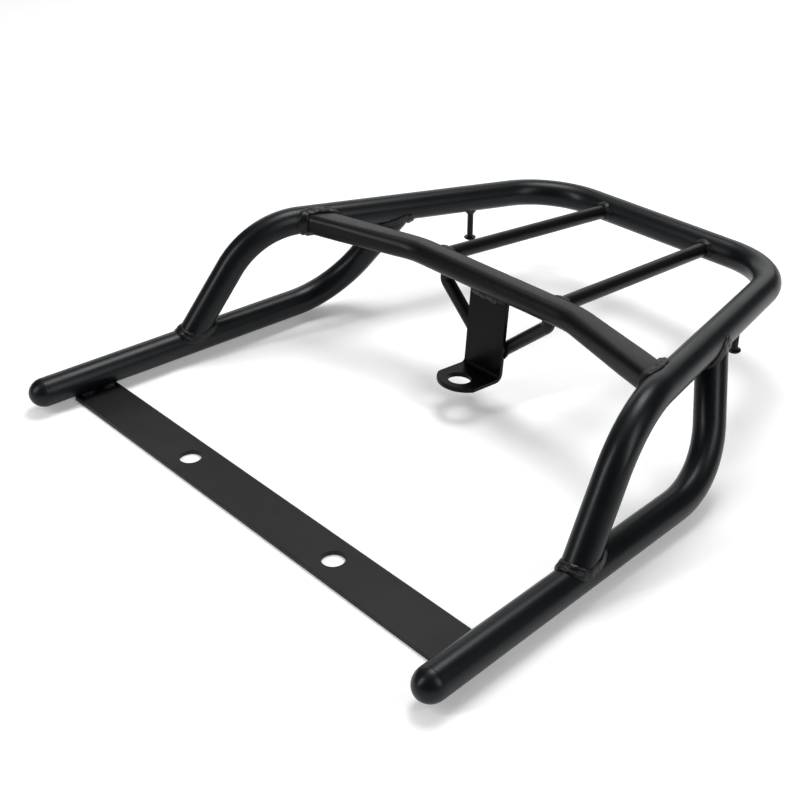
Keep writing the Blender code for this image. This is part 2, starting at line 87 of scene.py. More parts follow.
def place(x, y, z=0.0, side=1.0):
    """Point in metres from millimetres: y counts from the front tips and z from the rails' axis."""
    return np.array([x * side * MM, y * MM - HALF_LENGTH, z * MM + RAIL_HEIGHT])


def on_rail(y, side):
    """Point on the straight run of a lower rail, in line between its two ends."""
    share = (y - RAIL_FRONT[1]) / (RAIL_BEND[1] - RAIL_FRONT[1])
    return place(RAIL_FRONT[0] + (RAIL_BEND[0] - RAIL_FRONT[0]) * share, y, 0, side)


def on_hoop_side(share, side):
    """Point on the hoop's side run: front corner + share * (rear corner - front corner)."""
    return place(*(np.array(HOOP_FRONT) * (1 - share) + np.array(HOOP_REAR) * share), side)


def share_at(y):
    """How far along the hoop's side run a distance from the front tips is."""
    return (y - HOOP_FRONT[1]) / (HOOP_REAR[1] - HOOP_FRONT[1])


FALL = math.atan2(HOOP_FRONT[2] - HOOP_REAR[2], HOOP_REAR[1] - HOOP_FRONT[1])
PLATFORM_ORIGIN = on_hoop_side(share_at(CROSS_Y), 1) * [0, 1, 1]
PLATFORM_Y = np.array([0, math.cos(FALL), -math.sin(FALL)])
PLATFORM_Z = np.array([0, math.sin(FALL), math.cos(FALL)])


def in_platform(x, y, z):
    """Point from metres in the platform's own frame, whose origin is inside the crossmember."""
    return (PLATFORM_ORIGIN + np.multiply.outer(x, ACROSS) + np.multiply.outer(y, PLATFORM_Y)
            + np.multiply.outer(z, PLATFORM_Z))


print(f"the platform falls {math.degrees(FALL):.2f} degrees towards the rear")

# %% [markdown]
# ## Light and camera
#
# The rack stands on a white acrylic sheet, which is lit so strongly that it burns out to white.
# A little light comes up through the sheet too, so that shadows stay pale.  Black paint shows
# little colour of its own: what the eye reads as its shape is the light that it mirrors.  So the
# lamps are soft panels, and where they stand decides where each tube gets its pale streak.

# %% Camera
VIEW_AZIMUTH, VIEW_HEIGHT, VIEW_ROLL = (math.radians(a) for a in (47.59, 31.36, -0.14))
VIEW_DISTANCE, VIEW_SHIFT = 800.77 * MM, (20.68 * MM, 26.81 * MM)
VIEW_TARGET, LENS_MM = (0, -24.27 * MM, 47.35 * MM), 58.23


def add_camera():
    """Camera on a sphere round the rack's middle: back is the way from the rack to the camera."""
    back = np.array([math.sin(VIEW_AZIMUTH) * math.cos(VIEW_HEIGHT),
                     -math.cos(VIEW_AZIMUTH) * math.cos(VIEW_HEIGHT), math.sin(VIEW_HEIGHT)])
    level = np.array([math.cos(VIEW_AZIMUTH), math.sin(VIEW_AZIMUTH), 0])
    top = np.cross(back, level)
    right = level * math.cos(VIEW_ROLL) + top * math.sin(VIEW_ROLL)
    top = top * math.cos(VIEW_ROLL) - level * math.sin(VIEW_ROLL)
    spot = (np.array(VIEW_TARGET) - right * VIEW_SHIFT[0] - top * VIEW_SHIFT[1]
            + back * VIEW_DISTANCE)
    camera = bpy.data.objects.new("camera", bpy.data.cameras.new("camera"))
    camera.data.lens = LENS_MM
    camera.data.clip_start = 0.02
    camera.matrix_world = [[right[i], top[i], back[i], spot[i]] for i in range(3)] + [[0, 0, 0, 1]]
    camera.matrix_world.transpose()
    bpy.context.scene.collection.objects.link(camera)
    bpy.context.scene.camera = camera
    return spot


print("camera at", add_camera().round(4))


# %% Colours and nodes
def linear(code):
    """Linear colour from sRGB hex: c / 12.92 when dark, else ((c + 0.055) / 1.055) ^ 2.4."""
    shares = np.array([int(code[i:i + 2], 16) for i in (1, 3, 5)]) / 255
    shares = np.where(shares <= 0.04045, shares / 12.92, ((shares + 0.055) / 1.055) ** 2.4)
    return (*shares.tolist(), 1.0)


def add_node(tree, kind, links=None, **settings):
    """One node: a setting named in_3 or in_Scale fills an input, any other is a property, and
    links gives for an input the output that feeds it."""
    node = tree.nodes.new(kind)
    for key, value in settings.items():
        if key.startswith("in_"):
            name = key[3:].replace("_", " ")
            node.inputs[int(name) if name.isdigit() else name].default_value = value
        else:
            setattr(node, key, value)
    for key, output in (links or {}).items():
        tree.links.new(output, node.inputs[key])
    return node


# %% Floor, room and lamps
FLOOR_HALF = 12.0


def add_floor():
    """White acrylic sheet, matt, much wider than the view and faintly lit from below."""
    mesh = bpy.data.meshes.new("floor")
    corners = [(x * FLOOR_HALF, y * FLOOR_HALF, 0) for x, y in ((-1, -1), (1, -1), (1, 1), (-1, 1))]
    mesh.from_pydata(corners, [], [(0, 1, 2, 3)])
    floor = bpy.data.objects.new("floor", mesh)
    bpy.context.scene.collection.objects.link(floor)
    sheet = bpy.data.materials.new("white_acrylic_sheet")
    sheet.use_nodes = True
    shader = sheet.node_tree.nodes["Principled BSDF"]
    shader.inputs["Base Color"].default_value = linear("#f2f2f2")
    shader.inputs["Roughness"].default_value = 0.9
    shader.inputs["Specular IOR Level"].default_value = 0.1
    shader.inputs["Emission Color"].default_value = linear("#ffffff")
    shader.inputs["Emission Strength"].default_value = 0.18
    mesh.materials.append(sheet)


def add_softbox(name, spot, target, width, height, power):
    """Lamp panel at a spot, facing a target: back is the way from the target to the spot."""
    lamp = bpy.data.lights.new(name, "AREA")
    lamp.shape, lamp.size, lamp.size_y, lamp.energy = "RECTANGLE", width, height, power
    back = unit(np.subtract(spot, target))
    level = unit(np.cross(UP if abs(back[2]) < 0.99 else [0, 1, 0], back))
    top = np.cross(back, level)
    panel = bpy.data.objects.new(name, lamp)
    panel.matrix_world = [[level[i], top[i], back[i], spot[i]] for i in range(3)] + [[0, 0, 0, 1]]
    panel.matrix_world.transpose()
    bpy.context.scene.collection.objects.link(panel)


def add_room():
    """Plain grey room."""
    world = bpy.data.worlds.new("studio")
    world.use_nodes = True
    world.node_tree.nodes["Background"].inputs["Color"].default_value = linear("#d8d8d8")
    world.node_tree.nodes["Background"].inputs["Strength"].default_value = 0.17
    bpy.context.scene.world = world
    bpy.context.scene.view_settings.view_transform = "Standard"


add_floor()
add_room()
# The key gives the shadows, the two large panels give the tubes' pale tops, and the strips give
# the legs' narrow streaks.
add_softbox("key_panel", (-0.25, 0.45, 1.5), (0, 0, 0), 0.65, 0.65, 14)
add_softbox("overhead_panel", (-0.3, 0.3, 2.0), (0, 0, 0), 2.2, 2.2, 8.3)
add_softbox("back_panel", (-1.3, 1.4, 0.75), (0, 0, 0.1), 2.6, 0.8, 9.5)
add_softbox("front_strip", (-0.5, -1.35, 1.0), (0, 0, 0.05), 0.14, 1.2, 11.5)
add_softbox("side_strip", (1.45, 0.2, 1.0), (0, 0, 0.05), 0.14, 1.2, 9)
lamps = [lamp for lamp in bpy.context.scene.objects if lamp.type == "LIGHT"]
print("lamps:", {lamp.name: f"{lamp.data.energy:.1f} W" for lamp in lamps})

# %% [markdown]
# ## Building blocks
#
# Every new piece is a grid of points worked out in whole arrays.  A tube is a circle carried
# along its centre line.  A hollow tube goes out along its outside and comes back along its bore,
# so that its grid closes on itself like the skin of a ring.


# %% From a grid of points to a mesh
def surface(name, rows, ends=None):
    """Closed mesh from a grid: each point (row, column) joins its next row and next column.

    Columns always go round.  The rows go round too, unless ends gives the two points that fans
    of triangles close the grid with.  If the volume, the sum of each face's corner products, is
    below zero, the faces are turned over.
    """
    count, around = rows.shape[:2]
    index = np.arange(count * around).reshape(count, around)
    points = rows.reshape(-1, 3)
    fans = []
    if ends is None:
        index = np.vstack([index, index[:1]])
    else:
        points = np.vstack([points, ends])
        for ring, pole in ((index[0][::-1], len(points) - 2), (index[-1], len(points) - 1)):
            fans.append(np.stack([ring, np.roll(ring, -1), np.full(around, pole)], axis=1))
    beside = np.roll(index, -1, axis=1)
    quads = np.stack([index[:-1], beside[:-1], beside[1:], index[1:]], axis=-1).reshape(-1, 4)
    triangles = np.vstack([quads[:, [0, 1, 2]], quads[:, [0, 2, 3]], *fans])
    faces = quads.tolist() + [face for fan in fans for face in fan.tolist()]
    if np.linalg.det(points[triangles] - points.mean(0)).sum() < 0:
        faces = [face[::-1] for face in faces]
    return mesh_object(name, points, faces)


def mesh_object(name, points, faces):
    """Object at the origin, smooth except along edges sharper than 35 degrees."""
    mesh = bpy.data.meshes.new(name)
    mesh.from_pydata(points.tolist(), [], faces)
    mesh.shade_smooth()
    mesh.set_sharp_from_angle(angle=math.radians(35))
    obj = bpy.data.objects.new(name, mesh)
    bpy.context.scene.collection.objects.link(obj)
    return obj


# %% Paths and sections
PATH_STEP = 2.5 * MM


def bent_path(corners, radii, step=PATH_STEP):
    """Centre line: straight runs, and at each corner an arc that touches both.

    The arc's centre is on the corner's bisector, radius / sin(half angle) away, and the arc
    starts radius / tan(half angle) before the corner.  Stations then follow at even steps.
    """
    runs = [corners[:1]]
    for before, corner, after, radius in zip(corners, corners[1:], corners[2:], radii):
        back, ahead = unit(before - corner), unit(after - corner)
        half = math.acos(back @ ahead) / 2
        start = corner + back * radius / math.tan(half)
        centre = corner + unit(back + ahead) * radius / math.sin(half)
        sweep = np.linspace(0, math.pi - 2 * half, 60)[:, None]
        runs.append(centre + (start - centre) * np.cos(sweep) - back * radius * np.sin(sweep))
    line = np.vstack([*runs, corners[-1:]])
    return evenly(line, [line], step, False)[0]


def evenly(line, values, step, closed):
    """The values at even steps along a line, each in proportion between its neighbours."""
    if closed:
        line, values = np.vstack([line, line[:1]]), [np.vstack([v, v[:1]]) for v in values]
    gone = np.concatenate([[0], np.cumsum(np.linalg.norm(np.diff(line, axis=0), axis=1))])
    stations = np.linspace(0, gone[-1], math.ceil(gone[-1] / step) + 1)
    stations = stations[:-1] if closed else stations
    return [np.stack([np.interp(stations, gone, part) for part in v.T], axis=1) for v in values]


def round_section(radius, around=40):
    """Circle as (across, up) pairs: radius * (cos, sin)."""
    angle = np.linspace(0, 2 * math.pi, around, endpoint=False)
    return radius * np.stack([np.cos(angle), np.sin(angle)], axis=-1)


def pressed_section(half_width, half_depth, corner, steps=7):
    """Rectangle with rounded corners: four quarter circles, each about its own inner corner."""
    quarter = np.arange(4).repeat(steps)
    angle = (quarter + np.tile(np.linspace(0, 1, steps), 4)) * math.pi / 2
    along, tall = np.array([1, -1, -1, 1])[quarter], np.array([1, 1, -1, -1])[quarter]
    return np.stack([along * (half_width - corner) + corner * np.cos(angle),
                     tall * (half_depth - corner) + corner * np.sin(angle)], axis=-1)


def carried(path, section, reference):
    """Section carried along a path: station + across * side + up * top.

    side is square to the path and to the reference, and top is square to the path and side.
    """
    along = unit(np.gradient(path, axis=0))
    side = unit(np.cross(along, reference))
    top = np.cross(side, along)
    return path[:, None] + section[..., :1] * side[:, None] + section[..., 1:] * top[:, None]


# %% [markdown]
# ## Coped ends
#
# Where one tube meets another, its end is cut to a fish mouth that sits on the other's side.
# A saw can't do it in one go, so the trade uses a hole saw or a notcher.  In numbers it is a
# quadratic: each line along the tube is followed until it comes out of the other tube.

# %% Fish mouths
COPE_FADE = 30 * MM
COPE_GAP = 0.05 * MM


def square_to(vectors, axis):
    """The vectors less their part along an axis."""
    return vectors - (vectors @ axis)[..., None] * axis


def way_out(points, out, main, squeeze=1.0):
    """Distance along out at which each point leaves a round bar: the larger root of
    |offset + distance * out| = radius, with both vectors taken square to the bar.

    squeeze multiplies the sideways part of the offset first.  Below 1 it makes the fish mouth
    shallower, so that its two points end short of the bar's sides and the weld fills the rest.
    """
    spot, axis, radius = main
    slope, offset = square_to(out, axis), square_to(points - spot, axis)
    a, b = slope @ slope, offset @ slope
    sideways = (offset ** 2).sum(-1) - b * b / a
    return (np.sqrt(np.maximum(a * (radius ** 2 - sideways * squeeze ** 2), 0)) - b) / a


def cope(rows, path, main, at_end=False, squeeze=1.0):
    """Rows near an end slide along the bar by their own way out, less and less up to the fade."""
    tip, beside = (path[-1], path[-2]) if at_end else (path[0], path[1])
    out = unit(beside - tip)
    shift = way_out(rows[-1 if at_end else 0], out, main, squeeze) + COPE_GAP
    fade = np.clip(1 - np.linalg.norm(path - tip, axis=1) / COPE_FADE, 0, 1)
    return rows + fade[:, None, None] * shift[:, None] * out


def hollow_bar(name, path, outer, inner, reference, start=None, end=None, squeeze=1.0):
    """Tube: rows of the outside from start to end, then rows of the bore from end to start."""
    skins = []
    for section in (outer, inner):
        rows = carried(path, section, reference)
        if start is not None:
            rows = cope(rows, path, start, squeeze=squeeze)
        if end is not None:
            rows = cope(rows, path, end, at_end=True, squeeze=squeeze)
        skins.append(rows)
    return surface(name, np.concatenate([skins[0], skins[1][::-1]]))


# %% [markdown]
# ## The coat
#
# Powder coat is dry paint that is sprayed on with a charge and melted in an oven.  It flows
# into a skin about 0.1 mm thick that rounds every edge.  Satin black has matting agent in it,
# so it mirrors lamps as soft streaks, and its skin keeps a fine orange peel and slight changes
# of gloss.  Each kind of stock is given a slightly different shade and gloss here.  The front
# plate and the bracket are the same flat bar, yet each has a coat of its own: the plate's is
# lighter, painted light on its upward face, and the bracket's is darker and mirrors less,
# painted shade on its front face.  The coat is a plastic, so it isn't metallic, and its index
# is near 1.5.


# %% One coat for every kind of piece
def powder_coat(name, dark, light, gloss, peel_mm, peel_depth, grit, mirror):
    """Satin black coat.

    The colour goes from dark to light with a slow noise, 60 mm across.  The roughness goes over
    the range in gloss with a noise of 25 mm and, at grit, with one of 0.9 mm.  The bump is an
    orange peel of a given width and depth over a grain of 0.9 mm, which is drawn coarser than
    the real one of about 0.1 mm so that it shows.  mirror scales how much the coat reflects.
    """
    coat = bpy.data.materials.new(name)
    coat.use_nodes = True
    tree = coat.node_tree
    shader = tree.nodes["Principled BSDF"]
    spot = add_node(tree, "ShaderNodeTexCoord").outputs["Object"]
    slow, cloud, peel, grain = (
        add_node(tree, "ShaderNodeTexNoise", {"Vector": spot}, in_Scale=1000 / width,
                 in_Detail=detail, in_Roughness=0.5).outputs["Fac"]
        for width, detail in ((60, 2), (25, 3), (peel_mm, 1), (0.9, 1)))
    colour = add_node(tree, "ShaderNodeValToRGB", {"Fac": slow})
    colour.color_ramp.elements[0].position, colour.color_ramp.elements[0].color = 0.3, linear(dark)
    colour.color_ramp.elements[1].position, colour.color_ramp.elements[1].color = 0.7, linear(light)
    satin = add_node(tree, "ShaderNodeMapRange", {"Value": cloud}, in_From_Min=0.3, in_From_Max=0.7,
                     in_To_Min=gloss[0], in_To_Max=gloss[1])
    speck = add_node(tree, "ShaderNodeMath", {0: grain, 2: satin.outputs[0]},
                     operation="MULTIPLY_ADD", in_1=grit)
    relief = add_node(tree, "ShaderNodeMath", {0: grain, 2: peel}, operation="MULTIPLY_ADD",
                      in_1=0.3)
    bump = add_node(tree, "ShaderNodeBump", {"Height": relief.outputs[0]}, in_Strength=1.0,
                    in_Distance=peel_depth * MM)
    tree.links.new(colour.outputs["Color"], shader.inputs["Base Color"])
    tree.links.new(speck.outputs[0], shader.inputs["Roughness"])
    tree.links.new(bump.outputs["Normal"], shader.inputs["Normal"])
    shader.inputs["IOR"].default_value = 1.5
    shader.inputs["Specular IOR Level"].default_value = mirror
    return coat


COATS = {
    "tube": powder_coat("satin_black_powder_coat_on_tube", "#04080b", "#060b10", gloss=(0.28, 0.34),
                        peel_mm=2.2, peel_depth=0.03, grit=0.06, mirror=0.22),
    "pressed": powder_coat("satin_black_powder_coat_on_pressed_tube", "#080706", "#0b0a08",
                           gloss=(0.30, 0.36), peel_mm=2.2, peel_depth=0.03, grit=0.06,
                           mirror=0.18),
    # The front plate's copy is lighter than the rest: painted light on the plate's upward face.
    "flat": powder_coat("satin_black_powder_coat_with_painted_light_on_plate", "#0e0e0f", "#131313",
                        gloss=(0.44, 0.52), peel_mm=1.8, peel_depth=0.03, grit=0.10, mirror=0.25),
    # The bracket's copy is darker and mirrors less: painted shade on the strap's front face.
    "fold": powder_coat("satin_black_powder_coat_with_painted_shade_on_bracket", "#050505", "#080707",
                        gloss=(0.26, 0.32), peel_mm=1.8, peel_depth=0.03, grit=0.08, mirror=0.09),
    "rod": powder_coat("satin_black_powder_coat_on_rod", "#060608", "#08080a",
                       gloss=(0.30, 0.36), peel_mm=2.0, peel_depth=0.03, grit=0.06, mirror=0.2),
    "bead": powder_coat("satin_black_powder_coat_on_weld", "#07080a", "#0b0b0d",
                        gloss=(0.30, 0.38), peel_mm=1.6, peel_depth=0.04, grit=0.06, mirror=0.22),
}
print("coats:", [coat.name for coat in COATS.values()])


# %% Put a stand-in in the place of its node
def stand_in(obj, node, kind):
    """Gives the piece its coat, hides its CAD node, and prints how far their boxes are apart at
    most."""
    obj.data.materials.append(COATS[kind])
    bpy.context.view_layer.update()
    ready = obj.evaluated_get(bpy.context.evaluated_depsgraph_get())
    points = np.array([corner[:] for corner in ready.bound_box])
    far = np.abs([points.min(0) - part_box(node)[0], points.max(0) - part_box(node)[1]]).max()
    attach(obj, "root")
    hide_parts(node)
    print(f"{obj.name}: {len(obj.data.polygons)} faces, box within {far / MM:.2f} mm of {node}")


# %% [markdown]
# ## Hoop and lower rails
#
# The hoop is one tube: it starts on the left rail, rises, turns back along the platform, goes
# round the rear, and comes down to the right rail.  Each lower rail runs straight, and then
# bends up and in to the hoop's side.

# %% Axes that other pieces sit on
RAIL_AXES = {side: (on_rail(0, side), unit(on_rail(200, side) - on_rail(0, side)), TUBE_R)
             for side in SIDES.values()}
HOOP_AXES = {side: (on_hoop_side(0, side), unit(on_hoop_side(1, side) - on_hoop_side(0, side)),
                    TUBE_R) for side in SIDES.values()}
REAR_AXIS = (place(0, HOOP_REAR[1], HOOP_REAR[2]), ACROSS, TUBE_R)

# %% The hoop
LEG_SQUEEZE = 0.8
hoop_corners = np.array([on_rail(HOOP_FOOT_Y, 1), on_hoop_side(0, 1), on_hoop_side(1, 1),
                         on_hoop_side(1, -1), on_hoop_side(0, -1), on_rail(HOOP_FOOT_Y, -1)])
hoop_path = bent_path(hoop_corners, [HOOP_FRONT_R, HOOP_REAR_R, HOOP_REAR_R, HOOP_FRONT_R])
stand_in(hollow_bar("hoop_tube", hoop_path, round_section(TUBE_R), round_section(BORE_R), UP,
                    RAIL_AXES[1], RAIL_AXES[-1], LEG_SQUEEZE), "upper_hoop", "tube")

# %% The lower rails
RAIL_START = RAIL_FRONT[1] + 0.05
for side_name, side in SIDES.items():
    rail_path = bent_path(np.array([on_rail(RAIL_START, side), place(*RAIL_BEND, 0, side),
                                    on_hoop_side(RAIL_TOP_AT, side)]), [RAIL_BEND_R])
    stand_in(hollow_bar(f"rail_tube_{side_name}", rail_path, round_section(TUBE_R),
                        round_section(BORE_R), UP, end=HOOP_AXES[side]),
             f"lower_rail_{side_name}", "tube")

# %% [markdown]
# ## Domed ends
#
# Each rail's open end is closed with a pressed dome, whose spigot goes into the tube.  It is
# a turned shape: a profile of radius and height, spun about its axis.


# %% Turned pieces
def turned(name, profile, foot, axis, around=48):
    """Profile of (radius, height) spun about an axis: foot + height * axis + radius * (cos, sin)
    in the plane square to it.  The profile's ends are on the axis and become the poles."""
    side = unit(np.cross(axis, ACROSS if abs(axis @ ACROSS) < 0.9 else UP))
    angle = np.linspace(0, 2 * math.pi, around, endpoint=False)[:, None]
    spin = np.cos(angle) * side + np.sin(angle) * np.cross(axis, side)
    rows = foot + profile[1:-1, 1, None, None] * axis + profile[1:-1, 0, None, None] * spin
    return surface(name, rows, foot + profile[[0, -1], 1, None] * axis)


def arc(centre, radius, start, end, steps):
    """Points of an arc: centre + radius * (cos, sin), with angles in degrees."""
    angle = np.radians(np.linspace(start, end, steps))
    return np.array(centre) + radius * np.stack([np.cos(angle), np.sin(angle)], axis=-1)


# %% The domes
DOME_EDGE, DOME_RISE, SPIGOT = 0.15 * MM, 10.7 * MM, 8 * MM
dome_profile = np.vstack([
    [[0, -SPIGOT], [BORE_R - GAP, -SPIGOT], [BORE_R - GAP, 0], [TUBE_R - DOME_EDGE, 0]],
    arc((TUBE_R - DOME_EDGE, DOME_EDGE), DOME_EDGE, -70, 0, 4),
    arc((0, DOME_EDGE), TUBE_R, 4, 86, 22) * [1, (DOME_RISE - DOME_EDGE) / TUBE_R],
    [[0, DOME_RISE]]])
for side_name, side in SIDES.items():
    stand_in(turned(f"dome_{side_name}", dome_profile, on_rail(RAIL_FRONT[1], side),
                    -RAIL_AXES[side][1]), f"rail_end_dome_{side_name}", "tube")

# %% [markdown]
# ## Crossmember
#
# It is a tube that was pressed flatter, so its top and front are nearly flat faces, crisper
# towards its ends.  Its section is a rectangle with large rounded corners, whose radius changes
# along the bar.

# %% The crossmember
CROSS_CORNER, CORNER_CHANGES_X = (6.8 * MM, 4.6 * MM), (70 * MM, 125 * MM)


def platform_point_of(point):
    """x, y and z of a point in the platform's frame."""
    offset = point - PLATFORM_ORIGIN
    return np.stack([offset @ ACROSS, offset @ PLATFORM_Y, offset @ PLATFORM_Z], axis=-1)


cross_corners = np.array([on_hoop_side(CROSS_END_AT, 1), in_platform(CROSS_BEND_X, 0, 0),
                          in_platform(-CROSS_BEND_X, 0, 0), on_hoop_side(CROSS_END_AT, -1)])
cross_path = bent_path(cross_corners, [CROSS_BEND_R, CROSS_BEND_R])
crispness = np.interp(np.abs(cross_path[:, 0]), CORNER_CHANGES_X, CROSS_CORNER)[:, None]
cross_outer = pressed_section(CROSS_HALF_WIDTH, CROSS_HALF_DEPTH, crispness)
cross_inner = pressed_section(CROSS_HALF_WIDTH - TUBE_WALL, CROSS_HALF_DEPTH - TUBE_WALL,
                              crispness - TUBE_WALL)
stand_in(hollow_bar("crossmember_tube", cross_path, cross_outer, cross_inner, PLATFORM_Z,
                    HOOP_AXES[1], HOOP_AXES[-1]), "crossmember", "pressed")

# %% [markdown]
# ## Rods and braces
#
# Two round bars carry the luggage between the crossmember and the rear bar.  Two more brace
# the bracket: each starts behind its strap and rises to the crossmember's underside, where it
# is bent upright.

# %% Solid round bars
CROSS_BACK = (in_platform(0, CROSS_HALF_WIDTH - CROSS_HALF_DEPTH, 0), ACROSS, CROSS_HALF_DEPTH)


def solid_bar(name, path, radius, reference, start, end):
    """Bar: a circle carried along the path, coped and closed at both ends."""
    rows = carried(path, round_section(radius, 32), reference)
    rows = cope(cope(rows, path, start), path, end, at_end=True)
    return surface(name, rows, np.stack([rows[0].mean(0), rows[-1].mean(0)]))


rod_ends = {side: np.array([in_platform(ROD_FRONT_X * side, CROSS_HALF_WIDTH - CROSS_HALF_DEPTH,
                                        ROD_LIFT),
                            place(ROD_REAR_X, HOOP_REAR[1], HOOP_REAR[2], side)])
            for side in SIDES.values()}
for side_name, side in SIDES.items():
    stand_in(solid_bar(f"rod_{side_name}", bent_path(rod_ends[side], []), CARRY_R, UP, CROSS_BACK,
                       REAR_AXIS), f"luggage_rod_{side_name}", "rod")

# %% The braces
# Each top is cut flat, level with the crossmember's underside.  The model's follows the rounded
# corner further up, so here a wedge of up to 3.5 mm is open at the rear edge.
BRACE_TOP_X, BRACE_TOP_DROP = 44.6 * MM, 14.5 * MM
BRACE_FOOT_X, BRACE_FOOT_DROP = 6.5 * MM, 47.5 * MM
BRACE_BEND_R, BRACE_Y, BRACE_STEP, BRACE_REACH = 5 * MM, GAP + BRACE_R, 1.2 * MM, 0.2 * MM
for side_name, side in SIDES.items():
    brace_corners = in_platform(np.array([BRACE_FOOT_X, BRACE_TOP_X, BRACE_TOP_X]) * side, BRACE_Y,
                                np.array([-BRACE_FOOT_DROP, -BRACE_TOP_DROP, 0]))
    brace_path = bent_path(brace_corners, [BRACE_BEND_R], BRACE_STEP)
    rows = carried(brace_path, round_section(BRACE_R, 32), -PLATFORM_Y)
    rows = rows[platform_point_of(brace_path)[:, 2] < -CROSS_HALF_DEPTH + BRACE_REACH]
    stand_in(surface(f"brace_{side_name}", rows, np.stack([rows[0].mean(0), rows[-1].mean(0)])),
             f"bracket_brace_{side_name}", "rod")

# %% [markdown]
# ## Flat bar: front plate and bracket
#
# Both are sheared from flat bar and drilled, and the bracket's strap is folded to an L.  Each is
# made as a thin sheet in the middle of the bar first.  Solidify then gives it its 3 mm, and
# Bevel rounds its sheared edges as the coat does.


# %% A sheet round a drilled hole
def round_hole(radius, reach, corners, steps=72):
    """Grid of (x, y) pairs about a hole's centre: from the hole's edge, radius * (cos, sin), to
    the outline, reach * (cos, sin), in three equal steps.  Rays go through the corners too."""
    angle = np.linspace(0, 2 * math.pi, steps, endpoint=False)
    for corner in corners:
        exact = math.atan2(corner[1], corner[0]) % (2 * math.pi)
        angle[np.abs(angle - exact).argmin()] = exact
    ray = np.stack([np.cos(angle), np.sin(angle)], axis=-1)
    share = np.linspace(0, 1, 4)[:, None, None]
    return ray * (radius + (reach(ray)[:, None] - radius) * share)


def grid_faces(rows, columns, first=0, closed=True):
    """Quads of a grid whose first point has the number first."""
    index = first + np.arange(rows * columns).reshape(rows, columns)
    index = np.hstack([index, index[:, :1]]) if closed else index
    quads = np.stack([index[:-1, :-1], index[:-1, 1:], index[1:, 1:], index[1:, :-1]], axis=-1)
    return quads.reshape(-1, 4)


SHEARED_EDGE = 0.5 * MM


def flat_bar(name, points, faces, facing):
    """Sheet with its doubles merged, turned to face the given way, thickened and rounded."""
    points, index = np.unique(points.round(7), axis=0, return_inverse=True)
    faces = index.reshape(-1)[faces]
    corner = points[faces]
    upright = np.cross(corner[:, 1] - corner[:, 0], corner[:, 2] - corner[:, 0]) @ facing < 0
    faces[upright] = faces[upright, ::-1]
    obj = mesh_object(name, points, faces.tolist())
    thick = obj.modifiers.new("thickness", "SOLIDIFY")
    thick.thickness, thick.offset, thick.use_even_offset = PLATE_T, 0, True
    edge = obj.modifiers.new("rounded_edges", "BEVEL")
    edge.width, edge.segments, edge.limit_method = SHEARED_EDGE, 3, "ANGLE"
    edge.angle_limit, edge.harden_normals = math.radians(50), True
    return obj


# %% The front plate
PLATE_HALF_LENGTH, PLATE_HALF_WIDTH, PLATE_Y = 178 * MM, 15 * MM, 43.2
PLATE_HOLE_R, PLATE_HOLE_X = 6.75 * MM, 67.5 * MM


def plate_reach(ray):
    """Distance from a hole to the edge of its own half of the plate, which is a rectangle."""
    wide = np.where(ray[:, 0] > 0, PLATE_HALF_LENGTH - PLATE_HOLE_X, PLATE_HOLE_X)
    return np.minimum(wide / np.maximum(np.abs(ray[:, 0]), 1e-9),
                      PLATE_HALF_WIDTH / np.maximum(np.abs(ray[:, 1]), 1e-9))


plate_corners = [(x, y * PLATE_HALF_WIDTH)
                 for x in (-PLATE_HOLE_X, PLATE_HALF_LENGTH - PLATE_HOLE_X) for y in (-1, 1)]
half_plate = round_hole(PLATE_HOLE_R, plate_reach, plate_corners) + [PLATE_HOLE_X, 0]
middle_y = place(0, PLATE_Y)[1]
halves = []
for side in SIDES.values():
    flat = (half_plate * [side, 1]).reshape(-1, 2)
    halves.append(np.column_stack([flat[:, 0], flat[:, 1] + middle_y,
                                   np.full(len(flat), PLATE_T / 2)]))
faces = [grid_faces(*half_plate.shape[:2], first) for first in (0, len(halves[0]))]
# The plate gets the lighter copy of the coat, painted light on its upward face.
stand_in(flat_bar("drilled_plate", np.vstack(halves), np.vstack(faces), UP), "front_plate", "flat")

# %% The folded bracket
STRAP_HALF_WIDTH, STRAP_MID, STRAP_TOP = 16 * MM, -1.5 * MM, -7.1 * MM
FOLD_R, FOLD_CENTRE = 4 * MM, (-5.5 * MM, -57.9 * MM)
FOOT_TIP_R, FOOT_TIP_Y, FOOT_HOLE_R, FOOT_HOLE_Y = 17.5 * MM, -19 * MM, 7.5 * MM, -23.1 * MM


def foot_reach(ray):
    """Distance from the foot's hole to its edge: the sides, the fold line, or the round tip,
    which is ray . centre + root((ray . centre)^2 - centre^2 + radius^2)."""
    sides = STRAP_HALF_WIDTH / np.maximum(np.abs(ray[:, 0]), 1e-9)
    fold = np.where(ray[:, 1] > 0, (FOLD_CENTRE[0] - FOOT_HOLE_Y) / np.maximum(ray[:, 1], 1e-9), 1)
    lift = FOOT_TIP_Y - FOOT_HOLE_Y
    tip = ray[:, 1] * lift + np.sqrt((ray[:, 1] * lift) ** 2 - lift ** 2 + FOOT_TIP_R ** 2)
    return np.minimum(np.minimum(sides, fold), np.where(ray[:, 1] * tip < lift, tip, 1))


